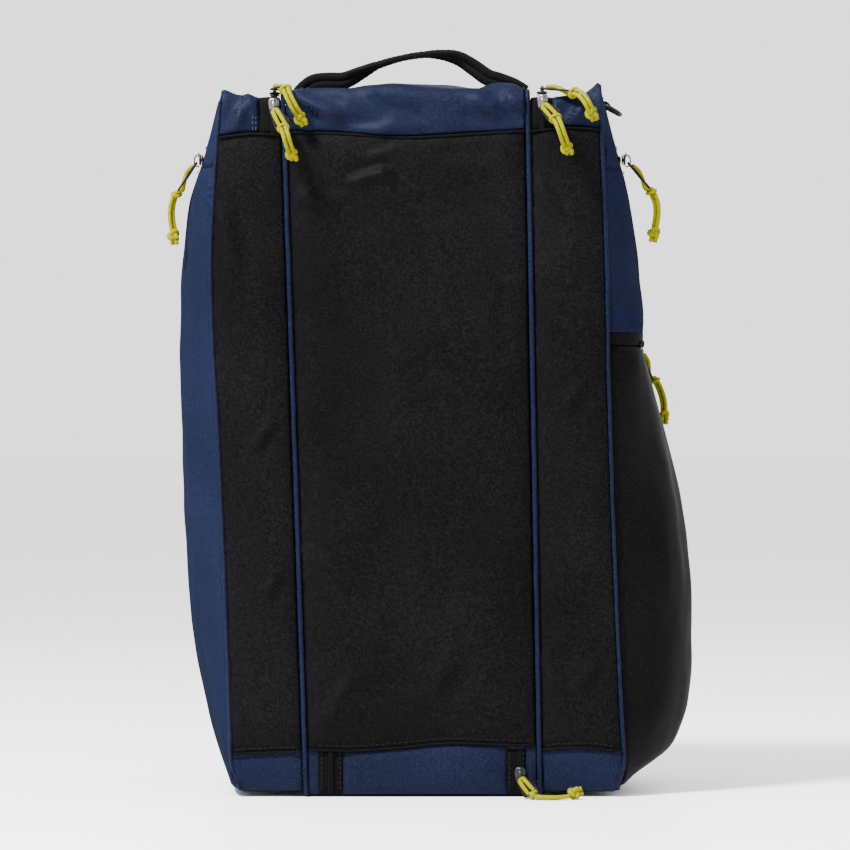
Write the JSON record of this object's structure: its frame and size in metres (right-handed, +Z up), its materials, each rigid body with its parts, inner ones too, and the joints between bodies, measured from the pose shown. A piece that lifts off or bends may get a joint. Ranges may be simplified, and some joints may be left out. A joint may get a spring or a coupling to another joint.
{
  "type": "racket backpack",
  "caption": "Upright racket backpack with side racket compartments, flank pockets, grab handle, shoulder straps and corded zip pulls.",
  "frame": {"origin": "on the floor, in the middle of the flat underside of the centre compartment", "axes": "+Z up; the plain front faces -Y and the shoulder straps +Y; +X is to the right seen from the front"},
  "size_m": [0.4248, 0.3691, 0.5971],
  "materials": {
    "navy_fabric": "navy woven polyester with a fine twill and a soft sheen",
    "black_fabric": "matt black woven polyester",
    "zip_tape": "black reverse-coil zip tape",
    "webbing": "black ribbed webbing",
    "mesh_pad": "black spacer mesh over foam",
    "slider_metal": "nickel-plated zip slider",
    "pull_wire": "black coated wire",
    "cord_yellow": "neon yellow braided cord",
    "black_plastic": "black acetal"
  },
  "bodies": {
    "bag": {"centre_shell": "navy_fabric", "front_panel_center": "black_fabric", "front_panel_left": "black_fabric", "front_panel_right": "black_fabric", "left_shell": "navy_fabric", "right_shell": "navy_fabric", "top_band": "navy_fabric", "bottom_band": "navy_fabric", "pipings": "navy_fabric", "zip_tapes": "zip_tape", "webbing_tabs": "webbing", "left_pocket": "navy_fabric", "right_pocket": "navy_fabric", "accessory_pocket": "black_fabric"},
    "left_flap": {"left_lid": "navy_fabric"},
    "right_flap": {"right_lid": "navy_fabric"},
    "grab_handle": {"handle": "webbing"},
    "hang_ring": {"d_ring": "black_plastic"},
    "back_door": {"back_lid": "navy_fabric", "back_pads": "mesh_pad", "strap_left": "mesh_pad", "strap_right": "mesh_pad", "strap_webbings": "webbing", "ladder_locks": "black_plastic"},
    "left_tail": {"tail_left": "webbing"},
    "right_tail": {"tail_right": "webbing"},
    "left_front_runner": {"left_front_slider": "slider_metal"},
    "left_front_tab": {"left_front_pull": "pull_wire", "left_front_cord": "cord_yellow", "left_front_knot": "cord_yellow"},
    "left_top_runner": {"left_top_slider": "slider_metal"},
    "left_top_tab": {"left_top_pull": "pull_wire", "left_top_cord": "cord_yellow", "left_top_knot": "cord_yellow"},
    "right_front_runner": {"right_front_slider": "slider_metal"},
    "right_front_tab": {"right_front_pull": "pull_wire", "right_front_cord": "cord_yellow", "right_front_knot": "cord_yellow"},
    "right_top_runner": {"right_top_slider": "slider_metal"},
    "right_top_tab": {"right_top_pull": "pull_wire", "right_top_cord": "cord_yellow", "right_top_knot": "cord_yellow"},
    "left_flank_runner": {"left_flank_slider": "slider_metal"},
    "left_flank_tab": {"left_flank_pull": "pull_wire", "left_flank_cord": "cord_yellow", "left_flank_knot": "cord_yellow"},
    "right_flank_runner": {"right_flank_slider": "slider_metal"},
    "right_flank_tab": {"right_flank_pull": "pull_wire", "right_flank_cord": "cord_yellow", "right_flank_knot": "cord_yellow"},
    "accessory_runner": {"accessory_slider": "slider_metal"},
    "accessory_tab": {"accessory_pull": "pull_wire", "accessory_cord": "cord_yellow", "accessory_knot": "cord_yellow"},
    "bottom_runner": {"bottom_slider": "slider_metal"},
    "bottom_tab": {"bottom_pull": "pull_wire", "bottom_cord": "cord_yellow", "bottom_knot": "cord_yellow"}
  },
  "joints": [
    {"name": "left_flap_open", "type": "hinge", "parent": "bag", "child": "left_flap", "pos_m": [-0.1593, 0, 0.561], "axis": [0, -1, 0], "range_deg": [0, 95]},
    {"name": "right_flap_open", "type": "hinge", "parent": "bag", "child": "right_flap", "pos_m": [0.1454, 0, 0.561], "axis": [0, 1, 0], "range_deg": [0, 95]},
    {"name": "back_door_open", "type": "hinge", "parent": "bag", "child": "back_door", "pos_m": [0, 0.1303, 0.01], "axis": [-1, 0, 0], "range_deg": [0, 60]},
    {"name": "handle_swing", "type": "hinge", "parent": "bag", "child": "grab_handle", "pos_m": [0, -0.118, 0.575], "axis": [1, 0, 0], "range_deg": [-70, 70]},
    {"name": "ring_swing", "type": "hinge", "parent": "bag", "child": "hang_ring", "pos_m": [0.1515, -0.062, 0.5575], "axis": [0, 1, 0], "range_deg": [-80, 0]},
    {"name": "left_tail_slide", "type": "slide", "parent": "back_door", "child": "left_tail", "axis": [0, 0, -1], "range_m": [0, 0.06]},
    {"name": "right_tail_slide", "type": "slide", "parent": "back_door", "child": "right_tail", "axis": [0, 0, -1], "range_m": [0, 0.06]},
    {"name": "left_front_zip", "type": "slide", "parent": "bag", "child": "left_front_runner", "axis": [0, 0, -1], "range_m": [0, 0.018]},
    {"name": "left_front_pull_swing", "type": "hinge", "parent": "left_front_runner", "child": "left_front_tab", "pos_m": [-0.117, -0.1454, 0.5505], "axis": [-0.8829, 0, -0.4695], "range_deg": [0, 60]},
    {"name": "left_top_zip", "type": "slide", "parent": "bag", "child": "left_top_runner", "axis": [0, 1, 0], "range_m": [0, 0.2], "deforming": ["left_top_cord", "left_top_knot"]},
    {"name": "left_top_pull_swing", "type": "hinge", "parent": "left_top_runner", "child": "left_top_tab", "pos_m": [-0.117, -0.1205, 0.5674], "axis": [-0.9397, -0.342, 0], "range_deg": [0, 70]},
    {"name": "right_front_zip", "type": "slide", "parent": "bag", "child": "right_front_runner", "axis": [0, 0, -1], "range_m": [0, 0.018]},
    {"name": "right_front_pull_swing", "type": "hinge", "parent": "right_front_runner", "child": "right_front_tab", "pos_m": [0.098, -0.1454, 0.5535], "axis": [-0.766, 0, -0.6428], "range_deg": [0, 60]},
    {"name": "right_top_zip", "type": "slide", "parent": "bag", "child": "right_top_runner", "axis": [0, 1, 0], "range_m": [0, 0.2], "deforming": ["right_top_cord", "right_top_knot"]},
    {"name": "right_top_pull_swing", "type": "hinge", "parent": "right_top_runner", "child": "right_top_tab", "pos_m": [0.098, -0.1305, 0.5674], "axis": [-0.454, -0.891, 0], "range_deg": [0, 70]},
    {"name": "left_flank_zip", "type": "slide", "parent": "bag", "child": "left_flank_runner", "axis": [0, 1, 0], "range_m": [0, 0.18]},
    {"name": "left_flank_pull_swing", "type": "hinge", "parent": "left_flank_runner", "child": "left_flank_tab", "pos_m": [-0.1809, -0.095, 0.5095], "axis": [0, 1, 0], "range_deg": [0, 70]},
    {"name": "right_flank_zip", "type": "slide", "parent": "bag", "child": "right_flank_runner", "axis": [0, 1, 0], "range_m": [0, 0.18]},
    {"name": "right_flank_pull_swing", "type": "hinge", "parent": "right_flank_runner", "child": "right_flank_tab", "pos_m": [0.1684, -0.095, 0.5095], "axis": [0, -1, 0], "range_deg": [0, 70]},
    {"name": "accessory_zip", "type": "slide", "parent": "bag", "child": "accessory_runner", "axis": [0, -1, 0], "range_m": [0, 0.16]},
    {"name": "accessory_pull_swing", "type": "hinge", "parent": "accessory_runner", "child": "accessory_tab", "pos_m": [0.1864, 0.085, 0.3605], "axis": [0, -1, 0], "range_deg": [0, 70]},
    {"name": "bottom_zip", "type": "slide", "parent": "bag", "child": "bottom_runner", "axis": [0, 0, 1], "range_m": [0, 0.012]},
    {"name": "bottom_pull_swing", "type": "hinge", "parent": "bottom_runner", "child": "bottom_tab", "pos_m": [0.08, -0.1454, 0.0155], "axis": [-0.766, 0, -0.6428], "range_deg": [0, 50]}
  ]
}
